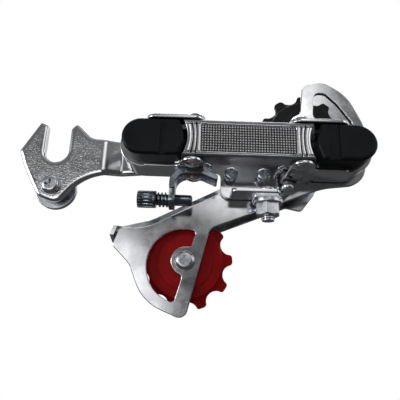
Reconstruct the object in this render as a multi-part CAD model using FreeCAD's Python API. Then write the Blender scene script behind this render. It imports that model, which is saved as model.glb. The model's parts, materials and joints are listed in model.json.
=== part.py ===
import FreeCAD, Part
import math
import os

V = FreeCAD.Vector

# Frame: origin at the axle centre in the claw slot, +X towards the cage pivot, +Y towards the wheel, +Z up.

# Clearances
running_gap = 0.06
side_gap = 0.3
seat_gap = 0.1

# Claw hanger, its screw and nut
axle_slot_width = 10.2
claw_thickness = 3.0
claw_set_back = 3.0
claw_step_start = 21.0
claw_step_length = 7.0
claw_neck_half = 7.4
prong_height = 13.4
prong_width = 3.3
claw_reach = 15.9
claw_drop = 23.6
claw_foot = 2.6
claw_waist = 13.4
claw_screw_drop = 16.0
claw_screw_shank_r = 2.5
claw_screw_head_r = 4.0
claw_screw_head_height = 2.6
claw_nut_r = 8.7
claw_nut_thickness = 2.5
claw_nut_boss_r = 4.9
claw_nut_boss_height = 2.5

# Bracket and knuckle, two shells of one form that face each other
bracket_x = 39.0
ear_reach = 20.5
shell_front = -13.0
shell_length = 13.0
shell_wall = 1.6
ear_thickness = 1.6
ear_radius = 4.2
ear_root = 1.0
under_ear_lip = 0.6
hanger_axle_r = 3.5
hanger_head_r = 6.6
hanger_head_height = 1.5
friction_washer_thickness = 0.8
clip_thickness = 0.8
clip_width = 1.4
bush_wall = 1.5

# Caps
cap_front = -21.0
cap_wall = 1.6
cap_radius = 7.0
cap_edge = 1.3
cap_groove_depth = 0.7
cap_groove_at = 8.2
bracket_groove_width = 2.1
knuckle_groove_width = 4.4
bracket_cap_gap = 4.6
knuckle_cap_gap = 6.4
cap_bulge = 1.3

# Parallelogram
link_pitch = 42.5
link_front = -21.6
link_height = 15.6
link_drop = 0.2
link_web = 2.0
link_flange = 1.7
link_flange_back = -13.6
link_end = 4.6
link_end_hollow = 1.9
panel_margin = 4.0
panel_depth = 0.6
panel_rise = 2.4
rib_width = 0.9
rib_pitch = 1.6
outer_pin_y = -17.0
pin_line_gap = 10.5
pin_r = 2.0
pin_head_r = 4.3
pin_head_height = 2.8
pin_foot_r = 3.4
pin_foot_height = 1.2
inner_sheet = 1.6
inner_web_front = -2.6
inner_eye_r = 3.4
inner_ear_length = 11.0

# Limit screws on the inner link's tab
tab_start = 11.5
tab_length = 23.8
tab_height = 9.5
shelf_front = -12.5
limit_screw_start = 15.7
limit_screw_pitch = 13.6
limit_screw_drop = 1.6
limit_screw_r = 1.5
limit_head_r = 2.9
limit_head_height = 1.9
limit_head_stand = 3.0

# Cable clamp under the tab's shelf
cable_bolt_start = 30.5
cable_bolt_y = -8.0
cable_bolt_r = 2.5
cable_bolt_head_r = 3.8
cable_bolt_head_height = 1.2
cable_bolt_tail = 2.2
cable_clamp_width = 8.2
cable_clamp_length = 10.0
cable_clamp_thickness = 2.0
cable_washer_r = 6.0
cable_washer_thickness = 1.6
cable_nut_across = 8.8
cable_nut_height = 4.9

# Cable arm and barrel adjuster
arm_thickness = 2.4
arm_front = -13.2
arm_bend_r = 8.6
arm_skirt = 6.5
adjuster_drop = 22.3
adjuster_y = -8.0
adjuster_boss_r = 4.0
adjuster_r = 2.3
adjuster_head_r = 3.5
adjuster_head_length = 7.4
adjuster_flutes = 16
adjuster_flute_r = 0.4
adjuster_collar = 1.2
adjuster_spring_room = 5.2
adjuster_tail = 7.0
housing_socket_r = 2.55
housing_socket_length = 6.0
cable_hole_r = 0.9
arm_leg_x = 51.3
adjuster_wire = 0.7

# Cage
cage_front = 0.0
plate_thickness = 2.0
inner_plate_thickness = 1.6
cage_gap = 8.5
guide_dx = -13.2
guide_dz = 15.2
tension_dx = -65.2
tension_dz = -45.4
cage_boss_r = 11.0
cage_axle_r = 3.5
cage_axle_head_r = 6.5
cage_axle_head_height = 1.2
hook_r = 22.0
window_r = 15.1
window_dx = -0.5
window_dz = -2.0
window_corner_r = 1.6
bolt_seat_r = 5.9
bar_dx = 0.7
bar_lean = 0.278
hook_reach = 30.2
tail_drop = 23.6
hoop_reach = 26.8
hoop_rise = 25.0
guard_length = 12.0
guard_tilt = 20.0
stop_pin_dz = -14.4
stop_pin_r = 2.4
stop_pin_length = 7.0
stop_lug_width = 2.2

# Pulleys, their bushes and bolts
pulley_teeth = 10
chain_pitch = 12.7
roller_seat_r = 4.35
pulley_tip_r = 19.8
pulley_hub_r = 7.0
pulley_hub_width = 7.6
pulley_body_r = 15.2
pulley_body_width = 5.4
tooth_root_width = 2.8
tooth_tip_width = 1.8
pulley_bush_r = 4.0
pulley_bolt_r = 2.5
pulley_bolt_head_r = 4.0
pulley_bolt_head_height = 2.4
tooth_phase = 5.0

# Springs
tension_wire = 1.5
tension_coil_r = 6.6
tension_turns = 3
return_wire = 0.9
return_coil_r = 3.0
return_turns = 4

# Places that follow from the sizes above
outer_pin_x = bracket_x + ear_reach
knuckle_pin_x = outer_pin_x + link_pitch
cage_x = knuckle_pin_x + ear_reach
inner_pin_y = outer_pin_y + pin_line_gap
link_top = link_height / 2 - link_drop
link_bottom = -link_height / 2 - link_drop
ear_under = link_bottom - side_gap - ear_thickness
ear_over = link_top + side_gap + ear_thickness
shell_r = (ear_over - ear_under) / 2
shell_z = (ear_over + ear_under) / 2
neck_front = -claw_thickness + claw_set_back
shell_back = neck_front - friction_washer_thickness - seat_gap
inner_web_back = inner_web_front + inner_sheet
tab_bottom = link_bottom - tab_height
shelf_bottom = tab_bottom - inner_sheet
limit_z = link_bottom - limit_screw_drop
cable_x = outer_pin_x + cable_bolt_start
clamp_bottom = shelf_bottom - cable_clamp_thickness
arm_back = adjuster_y + adjuster_boss_r
washer_bottom = clamp_bottom - cable_washer_thickness
nut_bottom = washer_bottom - cable_nut_height
plate_back = cage_front + plate_thickness
inner_plate_front = plate_back + cage_gap
inner_plate_back = inner_plate_front + inner_plate_thickness
pulley_y = plate_back + cage_gap / 2
guide = (cage_x + guide_dx, guide_dz)
tension = (cage_x + tension_dx, tension_dz)
stop_pin_x = knuckle_pin_x - pin_foot_r
pivot = (cage_x, 0.0)


def tangent_corner(before, corner, after):
    """Ends and middle of the arc that rounds one corner, its radius limited by the sides beside it."""
    px, pz, radius = corner
    ax, az = before[0] - px, before[1] - pz
    bx, bz = after[0] - px, after[1] - pz
    la = math.hypot(ax, az)
    lb = math.hypot(bx, bz)
    ax, az, bx, bz = ax / la, az / la, bx / lb, bz / lb
    half = math.acos(max(-1.0, min(1.0, ax * bx + az * bz))) / 2
    if radius <= 0 or half > math.radians(89.5):
        return None
    reach = min(radius / math.tan(half), la / 2, lb / 2)
    radius = reach * math.tan(half)
    mx, mz = ax + bx, az + bz
    lm = math.hypot(mx, mz)
    inset = radius / math.sin(half) - radius
    first = (px + ax * reach, pz + az * reach)
    middle = (px + mx / lm * inset, pz + mz / lm * inset)
    last = (px + bx * reach, pz + bz * reach)
    return first, middle, last


def rounded_wire(corners, place):
    """Closed wire through (u, v, radius) corners; place turns (u, v) into a point."""
    count = len(corners)
    rounds = [
        tangent_corner(corners[i - 1], corners[i], corners[(i + 1) % count]) or (corners[i][:2],) * 3
        for i in range(count)
    ]
    edges = []
    for i in range(count):
        first, middle, last = (place(*p) for p in rounds[i])
        following = place(*rounds[(i + 1) % count][0])
        if first.distanceToPoint(last) > 1e-6:
            edges.append(Part.Arc(first, middle, last).toShape())
        if last.distanceToPoint(following) > 1e-6:
            edges.append(Part.LineSegment(last, following).toShape())
    return Part.Wire(edges)


def plate_xz(corners, y0, y1):
    """Flat piece with an XZ outline between two Y planes."""
    wire = rounded_wire(corners, lambda x, z: V(x, y0, z))
    return Part.Face(wire).extrude(V(0, y1 - y0, 0))


def plate_xy(corners, z0, z1):
    """Flat piece with an XY outline between two Z planes."""
    wire = rounded_wire(corners, lambda x, y: V(x, y, z0))
    return Part.Face(wire).extrude(V(0, 0, z1 - z0))


def box(x0, x1, y0, y1, z0, z1):
    return Part.makeBox(x1 - x0, y1 - y0, z1 - z0, V(x0, y0, z0))


def rod_y(x, z, radius, y0, y1):
    return Part.makeCylinder(radius, y1 - y0, V(x, y0, z), V(0, 1, 0))


def rod_z(x, y, radius, z0, z1):
    return Part.makeCylinder(radius, z1 - z0, V(x, y, z0), V(0, 0, 1))


def rod_x(y, z, radius, x0, x1):
    return Part.makeCylinder(radius, x1 - x0, V(x0, y, z), V(1, 0, 0))


def ring_y(x, z, outer, inner, y0, y1):
    return rod_y(x, z, outer, y0, y1).cut(rod_y(x, z, inner, y0, y1))


def dome(centre, direction, radius, height):
    """Spherical cap that stands on a flat face, such as a rivet's head."""
    ball_r = (radius * radius + height * height) / (2 * height)
    ball = Part.makeSphere(ball_r, centre + direction * (height - ball_r))
    return ball.common(Part.makeCylinder(radius, height, centre, direction))


def joined(first, *others):
    return first.fuse(list(others)).removeSplitter()


def shifted(centre, corners):
    """Corners given from a centre, as places in the frame."""
    return [(centre[0] + x, centre[1] + z, radius) for x, z, radius in corners]


def coil(radius, wire, turns, pitch):
    """Helical spring of square wire along +Z from the origin."""
    helix = Part.makeHelix(pitch, turns * pitch, radius)
    half = wire / 2
    square = Part.makePolygon([
        V(radius - half, 0, -half),
        V(radius + half, 0, -half),
        V(radius + half, 0, half),
        V(radius - half, 0, half),
        V(radius - half, 0, -half),
    ])
    return Part.Wire(helix).makePipeShell([square], True, True)


def claw_outline():
    slot = axle_slot_width / 2
    neck_end = bracket_x + claw_neck_half + 1.0
    return [
        (-slot, prong_height - 1.5, 1.5),
        (-slot - prong_width, prong_height, 1.2),
        (-claw_reach, -0.6, 2.0),
        (-claw_reach + 3.0, -8.0, 5.0),
        (-slot - 0.5, -claw_drop + 3.0, 6.0),
        (claw_foot, -claw_drop, 5.0),
        (claw_waist, -claw_neck_half - 3.2, 24.0),
        (neck_end, -claw_neck_half, claw_neck_half),
        (neck_end, claw_neck_half, claw_neck_half),
        (claw_step_start + 2.0, claw_neck_half - 1.4, 20.0),
        (claw_waist + 1.2, claw_neck_half - 1.0, 6.0),
        (slot + 2.4, prong_height - 0.2, 1.2),
        (slot, prong_height - 3.0, 1.5),
        (slot, -slot, slot),
        (-slot, -slot, slot),
    ]


def claw_sheet():
    """Sheet that steps back from the plane of the claw to that of the neck."""
    x0 = claw_step_start
    x1 = claw_step_start + claw_step_length
    end = bracket_x + claw_neck_half + 1.0
    neck_back = neck_front + claw_thickness
    return plate_xy([
        (-claw_reach, -claw_thickness, 0),
        (x0, -claw_thickness, claw_thickness * 2),
        (x1, neck_front, claw_thickness),
        (end, neck_front, 0),
        (end, neck_back, 0),
        (x1, neck_back, claw_thickness * 2),
        (x0, 0, claw_thickness),
        (-claw_reach, 0, 0),
    ], -claw_drop, prong_height)


def claw_hanger():
    """Claw stamped from one sheet and pressed back towards the pivot."""
    neck_back = neck_front + claw_thickness
    whole = plate_xz(claw_outline(), -claw_thickness, neck_back).common(claw_sheet())
    pivot_hole = rod_y(bracket_x, 0, hanger_axle_r, neck_front, neck_back)
    screw_hole = rod_y(0, -claw_screw_drop, claw_screw_shank_r, -claw_thickness, 0)
    return whole.cut([pivot_hole, screw_hole])


def pan_head(centre, direction, radius, height):
    """Screw head with a flat crown and a rounded rim."""
    head = Part.makeCylinder(radius, height, centre, direction)
    crown = centre + direction * height
    rim = [e for e in head.Edges if e.Closed and (e.CenterOfMass - crown).Length < 1e-3]
    return head.makeFillet(min(0.7 * height, 0.5 * radius), rim)


def cross_recess(centre, direction, span, depth):
    """Cross-head recess sunk into a screw's head."""
    arm = Part.makeBox(span, span / 4, depth, V(-span / 2, -span / 8, -depth))
    other = arm.copy()
    other.rotate(V(0, 0, 0), V(0, 0, 1), 90)
    cross = arm.fuse(other)
    cross.Placement = FreeCAD.Placement(centre, FreeCAD.Rotation(V(0, 0, 1), direction))
    return cross


def claw_screw():
    z = -claw_screw_drop
    head = pan_head(V(0, -claw_thickness, z), V(0, -1, 0), claw_screw_head_r, claw_screw_head_height)
    tip = claw_nut_boss_height + claw_nut_thickness
    shank = rod_y(0, z, claw_screw_shank_r, -claw_thickness, tip)
    crown = V(0, -claw_thickness - claw_screw_head_height, z)
    recess = cross_recess(crown, V(0, -1, 0), claw_screw_head_r, claw_screw_head_height / 2)
    return joined(head, shank).cut(recess)


def claw_nut():
    z = -claw_screw_drop
    back = claw_nut_boss_height + claw_nut_thickness
    boss = rod_y(0, z, claw_nut_boss_r, 0, claw_nut_boss_height)
    disc = rod_y(0, z, claw_nut_r, claw_nut_boss_height, back)
    return joined(boss, disc).cut(rod_y(0, z, claw_screw_shank_r, 0, back))


def retaining_clip(x, z, axle_r):
    """Open ring that holds an axle in front of a shell's wall."""
    y0 = shell_front - seat_gap - clip_thickness
    ring = ring_y(x, z, axle_r + clip_width, axle_r, y0, shell_front - seat_gap)
    mouth = box(x - axle_r / 2, x + axle_r / 2, y0, shell_front, z - axle_r - clip_width, z)
    return ring.cut(mouth)


def pivot_axle(x, z, radius, head_r, head_front, head_height):
    """Rivet with its head behind a plate and its end in front of a shell's wall."""
    front = shell_front - seat_gap - clip_thickness - clip_thickness
    shank = rod_y(x, z, radius, front, head_front)
    return joined(shank, rod_y(x, z, head_r, head_front, head_front + head_height))


def friction_washer():
    outer = shell_r - shell_wall
    return ring_y(bracket_x, 0, outer, hanger_axle_r, neck_front - friction_washer_thickness, neck_front)


def bracket_bush():
    inner = hanger_axle_r + running_gap
    return ring_y(bracket_x, 0, inner + bush_wall, inner, shell_front + shell_wall, shell_back)


def shell_outline(x, facing, inset):
    """Round end about the pivot and a straight run towards the links."""
    radius = shell_r - inset
    far = x + facing * (shell_length - inset)
    near = x - facing * radius
    return [
        (near, shell_z - radius, radius),
        (far, shell_z - radius, shell_wall - inset / 2),
        (far, shell_z + radius, shell_wall - inset / 2),
        (near, shell_z + radius, radius),
    ]


def ear_outline(x, facing):
    root = x + facing * ear_root
    tip = x + facing * (ear_reach + ear_radius)
    front = outer_pin_y - ear_radius
    back = inner_pin_y + ear_radius
    return [
        (root, front, ear_radius),
        (tip, front, ear_radius),
        (tip, back, ear_radius),
        (root, back, 0),
    ]


def under_ear_outline(x, facing):
    """The lower ear stays behind the cap and comes forward only round the outer pin."""
    root = x + facing * ear_root
    neck = x + facing * (ear_reach - ear_radius)
    tip = x + facing * (ear_reach + ear_radius)
    front = outer_pin_y - ear_radius
    back = inner_pin_y + ear_radius
    return [
        (root, shell_front - under_ear_lip, 0),
        (neck - facing * ear_radius / 2, shell_front - under_ear_lip, 1.5),
        (neck, front, ear_radius),
        (tip, front, ear_radius),
        (tip, back, ear_radius),
        (root, back, 0),
    ]


def knuckle_shell(x, facing, axle_r):
    """Pressed shell, open at the back, with an ear above and below the links."""
    body = plate_xz(shell_outline(x, facing, 0), shell_front, shell_back)
    hollow = plate_xz(shell_outline(x, facing, shell_wall), shell_front + shell_wall, shell_back)
    ears = [
        plate_xy(ear_outline(x, facing), ear_over - ear_thickness, ear_over),
        plate_xy(under_ear_outline(x, facing), ear_under, ear_under + ear_thickness),
    ]
    whole = joined(body.cut(hollow), *ears)
    pin_x = x + facing * ear_reach
    holes = [rod_z(pin_x, y, pin_r, ear_under, ear_over) for y in (outer_pin_y, inner_pin_y)]
    holes.append(rod_y(x, 0, axle_r + running_gap, shell_front, shell_front + shell_wall))
    return whole.cut(holes)


def bracket_shell():
    return knuckle_shell(bracket_x, 1, hanger_axle_r)


def cage_knuckle():
    """The shell at the cage end, with a lug that the cage's stop pin rests under."""
    shell = knuckle_shell(cage_x, -1, cage_axle_r)
    lug_right = knuckle_pin_x - pin_foot_r - seat_gap
    lug_bottom = stop_pin_dz + stop_pin_r + side_gap
    lug = box(lug_right - stop_lug_width, lug_right, inner_pin_y - ear_radius / 2, inner_pin_y + ear_radius,
              lug_bottom, ear_under + ear_thickness)
    web = box(lug_right - stop_lug_width, knuckle_pin_x, inner_pin_y - ear_radius / 2,
              inner_pin_y + ear_radius, ear_under, ear_under + ear_thickness)
    hole = rod_z(knuckle_pin_x, inner_pin_y, pin_r, ear_under, ear_over)
    return joined(shell, lug, web).cut(hole)


def cap_outline(x, facing, gap, inset):
    """Round outer end, and a bulged end beside the link."""
    radius = cap_radius - inset
    far = x + facing * (ear_reach - gap - cap_bulge - inset)
    near = x - facing * (radius + 0.3)
    return [
        (near, -radius, radius),
        (far, -radius, 1.0),
        (far + facing * 2 * cap_bulge, 0, 9.0),
        (far, radius, 1.0),
        (near, radius, radius),
    ]


def knuckle_cap(x, facing, gap, groove_width):
    shell = plate_xz(cap_outline(x, facing, gap, 0), cap_front, shell_front)
    rim = [e for e in shell.Edges if e.BoundBox.YMax < cap_front + 1e-6]
    shell = shell.makeFillet(min(cap_edge, 0.8 * cap_wall), rim)
    hollow = plate_xz(cap_outline(x, facing, gap, cap_wall), cap_front + cap_wall, shell_front)
    at = x + facing * cap_groove_at
    groove = box(at - groove_width / 2, at + groove_width / 2, cap_front, cap_front + cap_groove_depth,
                 -cap_radius, cap_radius)
    return shell.cut([hollow, groove])


def bracket_cap():
    return knuckle_cap(bracket_x, 1, bracket_cap_gap, bracket_groove_width)


def cage_knuckle_cap():
    return knuckle_cap(cage_x, -1, knuckle_cap_gap, knuckle_groove_width)


def link_pin(x, y, head_r, foot_z):
    """Riveted pin, domed above its ear and flattened below the last sheet that it holds."""
    shank = rod_z(x, y, pin_r, foot_z, ear_over)
    head = dome(V(x, y, ear_over), V(0, 0, 1), head_r, pin_head_height)
    foot = dome(V(x, y, foot_z), V(0, 0, -1), pin_foot_r, pin_foot_height)
    return joined(shank, head, foot)


def link_face(front, back, end, hollow, top, bottom):
    left = outer_pin_x - end
    right = knuckle_pin_x + end
    return plate_xz([
        (left, bottom, 0.8),
        (right, bottom, 0.8),
        (right - 2 * hollow, (top + bottom) / 2, 9.0),
        (right, top, 0.8),
        (left, top, 0.8),
        (left + 2 * hollow, (top + bottom) / 2, 9.0),
    ], front, back)


def outer_link():
    """Alloy channel with a framed front panel, ribbed ends and a flange along each long edge."""
    web_back = link_front + link_web
    web = link_face(link_front, web_back, link_end, link_end_hollow, link_top, link_bottom)
    eye = [
        (outer_pin_x - link_end, web_back - 0.1, 0),
        (knuckle_pin_x + link_end, web_back - 0.1, 0),
        (knuckle_pin_x + link_end, link_flange_back, link_end - 0.2),
        (outer_pin_x - link_end, link_flange_back, link_end - 0.2),
    ]
    top = plate_xy(eye, link_top - link_flange, link_top)
    bottom = plate_xy(eye, link_bottom, link_bottom + link_flange)
    channel = joined(web, top, bottom)
    cuts = [rod_z(x, outer_pin_y, pin_r + running_gap, link_bottom, link_top)
            for x in (outer_pin_x, knuckle_pin_x)]
    cuts.append(plate_xz([
        (outer_pin_x + panel_margin - 1.6, link_bottom + panel_rise, 0.6),
        (knuckle_pin_x - panel_margin + 1.6, link_bottom + panel_rise, 0.6),
        (knuckle_pin_x - panel_margin + 1.6, link_top - panel_rise, 0.6),
        (outer_pin_x + panel_margin - 1.6, link_top - panel_rise, 0.6),
    ], link_front, link_front + panel_depth))
    for i in range(2):
        for x, side in ((outer_pin_x, 1), (knuckle_pin_x, -1)):
            at = x + side * (0.4 - i * rib_pitch)
            cuts.append(box(at - rib_width / 2, at + rib_width / 2, link_front, link_front + panel_depth,
                            link_bottom + panel_rise / 2, link_top - panel_rise / 2))
    return channel.cut(cuts)


def inner_eye_outline(x, facing):
    """Ear of the inner link: round about its pin, square at the web."""
    tip = x - facing * inner_eye_r
    root = x + facing * (inner_ear_length - inner_eye_r)
    front = inner_pin_y - inner_eye_r
    return [
        (tip, front, inner_eye_r),
        (root, front, inner_eye_r),
        (root, inner_web_back, 0),
        (tip, inner_web_back, 1.0),
    ]


def inner_link():
    """Pressed steel link: web at the back, ears at both ends, and a tab with a shelf below the middle."""
    x0 = outer_pin_x - inner_eye_r
    x1 = knuckle_pin_x + inner_eye_r
    tab_x0 = outer_pin_x + tab_start
    tab_x1 = tab_x0 + tab_length
    web = plate_xz([
        (x0, link_bottom, 1.0),
        (tab_x0, link_bottom, 2.0),
        (tab_x0, tab_bottom - inner_sheet, 4.0),
        (tab_x1, tab_bottom - inner_sheet, 0),
        (tab_x1, link_bottom, 2.0),
        (x1, link_bottom, 1.0),
        (x1, link_top, 1.0),
        (x0, link_top, 1.0),
    ], inner_web_front, inner_web_back)
    window = plate_xz([
        (tab_x0, link_bottom + 4.2, 2.0),
        (tab_x1, link_bottom + 4.2, 2.0),
        (tab_x1, link_top - 3.0, 2.0),
        (tab_x0, link_top - 3.0, 2.0),
    ], inner_web_front, inner_web_back)
    shelf = plate_xy([
        (tab_x0 + 4.0, shelf_front, 2.0),
        (tab_x1, shelf_front, 2.0),
        (tab_x1, inner_web_back, 0),
        (tab_x0 + 4.0, inner_web_back, 0),
    ], shelf_bottom, tab_bottom)
    ears = []
    holes = []
    for x, facing in ((outer_pin_x, 1), (knuckle_pin_x, -1)):
        ears.append(plate_xy(inner_eye_outline(x, facing), link_top - inner_sheet, link_top))
        ears.append(plate_xy(inner_eye_outline(x, facing), link_bottom, link_bottom + inner_sheet))
        holes.append(rod_z(x, inner_pin_y, pin_r + running_gap, link_bottom, link_top))
    for x in limit_screw_places():
        holes.append(rod_y(x, limit_z, limit_screw_r + running_gap, inner_web_front, inner_web_back))
    holes.append(rod_z(cable_x, cable_bolt_y, cable_bolt_r, shelf_bottom, tab_bottom))
    return joined(web.cut(window), shelf, *ears).cut(holes)


def limit_screw_places():
    first = outer_pin_x + limit_screw_start
    return first, first + limit_screw_pitch


def limit_screw(x):
    head_back = inner_web_front - limit_head_stand
    shank = rod_y(x, limit_z, limit_screw_r, head_back, inner_web_back)
    head = pan_head(V(x, head_back, limit_z), V(0, -1, 0), limit_head_r, limit_head_height)
    crown = V(x, head_back - limit_head_height, limit_z)
    recess = cross_recess(crown, V(0, -1, 0), limit_head_r * 1.2, limit_head_height / 2)
    return joined(shank, head).cut(recess)


def cable_bolt():
    shank = rod_z(cable_x, cable_bolt_y, cable_bolt_r, nut_bottom - cable_bolt_tail, tab_bottom)
    return joined(shank, rod_z(cable_x, cable_bolt_y, cable_bolt_head_r, tab_bottom,
                               tab_bottom + cable_bolt_head_height))


def cable_hole(z0, z1):
    return rod_z(cable_x, cable_bolt_y, cable_bolt_r, z0, z1)


def cable_clamp():
    front = cable_bolt_y - cable_clamp_width / 2
    back = cable_bolt_y + cable_clamp_width / 2
    left = cable_x - cable_clamp_length / 2 - 1.0
    right = left + cable_clamp_length
    clamp = plate_xy([
        (left, front, 0.8),
        (right, front, 0.8),
        (right, back, 0.8),
        (left, back, 0.8),
    ], clamp_bottom, shelf_bottom)
    return clamp.cut(cable_hole(clamp_bottom, shelf_bottom))


def cable_washer():
    disc = rod_z(cable_x, cable_bolt_y, cable_washer_r, washer_bottom, clamp_bottom)
    return disc.cut(cable_hole(washer_bottom, clamp_bottom))


def cable_nut():
    corner_r = cable_nut_across / math.sqrt(3)
    corners = [(cable_x + corner_r * math.cos(math.radians(60 * i + 15)),
                cable_bolt_y + corner_r * math.sin(math.radians(60 * i + 15)), 0) for i in range(6)]
    block = plate_xy(corners, nut_bottom, washer_bottom)
    cone = Part.makeCone(cable_nut_across * 0.5, cable_nut_across * 0.5 + cable_nut_height * 1.6,
                         cable_nut_height, V(cable_x, cable_bolt_y, nut_bottom), V(0, 0, 1))
    return block.common(cone).cut(cable_hole(nut_bottom, washer_bottom))


def cable_arm():
    """Bent strip under the bracket's lower ear, with a boss on its leg for the barrel adjuster."""
    top = ear_under
    leg_left = arm_leg_x - arm_thickness / 2
    leg_right = leg_left + arm_thickness
    foot_end = outer_pin_x + inner_eye_r
    strip = plate_xz([
        (leg_left, -adjuster_drop, 0),
        (leg_right, -adjuster_drop, 0),
        (leg_right, top - arm_thickness, arm_bend_r - arm_thickness),
        (foot_end, top - arm_thickness, 3.0),
        (foot_end + arm_skirt, top - arm_thickness * 2.2, 0.8),
        (foot_end + arm_skirt, top - arm_thickness * 1.2, 0.4),
        (foot_end, top, 3.0 + arm_thickness),
        (leg_left, top, arm_bend_r),
    ], arm_front, arm_back)
    boss = rod_x(adjuster_y, -adjuster_drop, adjuster_boss_r, leg_left, leg_right)
    shoulder = box(leg_left, leg_right, arm_front, adjuster_y - adjuster_boss_r,
                   -adjuster_drop, top - arm_bend_r)
    holes = [
        rod_x(adjuster_y, -adjuster_drop, adjuster_r + running_gap, leg_left, leg_right),
        rod_z(outer_pin_x, inner_pin_y, pin_r, top - arm_thickness * 3, top),
        rod_z(outer_pin_x, inner_pin_y, pin_foot_r + side_gap,
              top - arm_thickness * 4, top - arm_thickness),
    ]
    return joined(strip.cut(shoulder), boss).cut(holes)


def barrel_adjuster():
    y, z = adjuster_y, -adjuster_drop
    leg_left = arm_leg_x - arm_thickness / 2
    head_right = leg_left - adjuster_spring_room
    head_left = head_right - adjuster_head_length
    tail = leg_left + arm_thickness + adjuster_tail
    head = rod_x(y, z, adjuster_head_r, head_left, head_right)
    flutes = []
    for i in range(adjuster_flutes):
        angle = 2 * math.pi * i / adjuster_flutes
        flutes.append(rod_x(y + adjuster_head_r * math.cos(angle), z + adjuster_head_r * math.sin(angle),
                            adjuster_flute_r, head_left, head_right - adjuster_collar))
    head = head.cut(flutes)
    shank = rod_x(y, z, adjuster_r, head_right, tail)
    socket = rod_x(y, z, housing_socket_r, head_left, head_left + housing_socket_length)
    return joined(head, shank).cut([socket, rod_x(y, z, cable_hole_r, head_left, tail)])


def adjuster_spring():
    leg_left = arm_leg_x - arm_thickness / 2
    turns = 3
    room = adjuster_spring_room - 2 * seat_gap - adjuster_wire
    spring = coil(adjuster_r + adjuster_wire / 2 + seat_gap, adjuster_wire, turns, room / turns)
    spring.rotate(V(0, 0, 0), V(0, 1, 0), 90)
    start = leg_left - adjuster_spring_room + seat_gap + adjuster_wire / 2
    spring.translate(V(start, adjuster_y, -adjuster_drop))
    return spring


def tension_window():
    """Round opening in front of the tension pulley, crossed by the leaning bar that carries its bolt."""
    x, z = tension
    opening = rod_y(x + window_dx, z + window_dz, window_r, cage_front, plate_back)
    seat = rod_y(x, z, bolt_seat_r, cage_front, plate_back)
    reach = 2 * window_r
    bar = plate_xz(shifted(tension, [
        (bar_dx + bar_lean * reach, reach, 0),
        (2 * reach, reach, 0),
        (2 * reach, -reach, 0),
        (bar_dx - bar_lean * reach, -reach, 0),
    ]), cage_front, plate_back)
    left = opening.cut([seat, bar])
    corners = []
    for edge in left.Edges:
        start, stop = edge.Vertexes[0].Point, edge.Vertexes[-1].Point
        bar_x = x + bar_dx + bar_lean * (start.z - z)
        if abs(start.x - bar_x) < 1e-6 and abs(start.z - stop.z) < 1e-6:
            corners.append(edge)
    return left.makeFillet(window_corner_r, corners)


def guide_window():
    return shifted(guide, [
        (4.4, hoop_rise - 6.4, 3.0),
        (9.2, hoop_rise - 6.0, 4.0),
        (14.6, hoop_rise - 11.4, 14.0),
        (hoop_reach - 4.6, 2.6, 2.5),
        (14.0, -1.6, 8.0),
        (7.0, 2.0, 4.0),
        (3.4, 7.5, 4.0),
    ])


def outer_plate_outline():
    low = shifted(tension, [
        (-28.0, 13.0, 2.0),
        (-hook_reach, 5.4, 2.0),
        (-22.7, -1.9, 8.0),
        (-16.4, -16.6, hook_r),
        (0.8, -tail_drop, 3.5),
        (9.9, 13.7, 5.0),
    ])
    middle = shifted(pivot, [
        (-7.0, -12.3, 30.0),
        (cage_boss_r + 0.6, -10.0, 10.0),
    ])
    high = shifted(guide, [
        (hoop_reach, 2.0, 14.0),
        (hoop_reach - 7.2, hoop_rise - 7.0, 20.0),
        (9.0, hoop_rise, 8.0),
        (-0.9, hoop_rise - 2.4, 4.0),
        (-2.4, 8.4, 4.0),
        (-6.4, 4.5, 4.0),
        (-7.6, -15.4, 12.0),
    ])
    return low + middle + high + shifted(tension, [(-17.5, 12.9, 25.0)])


def cage_outer_plate():
    plate = plate_xz(outer_plate_outline(), cage_front, plate_back)
    holes = [tension_window(), plate_xz(guide_window(), cage_front, plate_back)]
    for x, z in (tension, guide):
        holes.append(rod_y(x, z, pulley_bolt_r, cage_front, plate_back))
    holes.append(rod_y(cage_x, 0, cage_axle_r, cage_front, plate_back))
    holes.append(rod_y(stop_pin_x, stop_pin_dz, stop_pin_r, cage_front, plate_back))
    return plate.cut(holes)


def inner_plate_outline():
    low = shifted(tension, [
        (-29.5, 15.5, 1.0),
        (-31.8, 7.4, 1.0),
        (-14.0, -2.0, 12.0),
        (-9.5, -11.0, 6.0),
        (4.0, -13.0, 6.0),
        (10.5, 12.8, 6.0),
    ])
    high = shifted(guide, [
        (-8.0, -34.0, 3.0),
        (-1.0, -35.4, 2.0),
        (4.6, -28.0, 2.0),
        (12.0, -14.0, 10.0),
        (hoop_reach + 0.7, 5.0, 12.0),
        (hoop_reach - 4.3, hoop_rise - 4.5, 12.0),
        (10.5, hoop_rise + 2.0, 6.0),
        (3.5, hoop_rise - 2.0, 4.0),
        (0.5, 12.5, 5.0),
        (-7.0, 9.0, 6.0),
        (-8.6, -10.6, 12.0),
    ])
    return low + high + shifted(tension, [(-15.0, 19.6, 20.0)])


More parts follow.
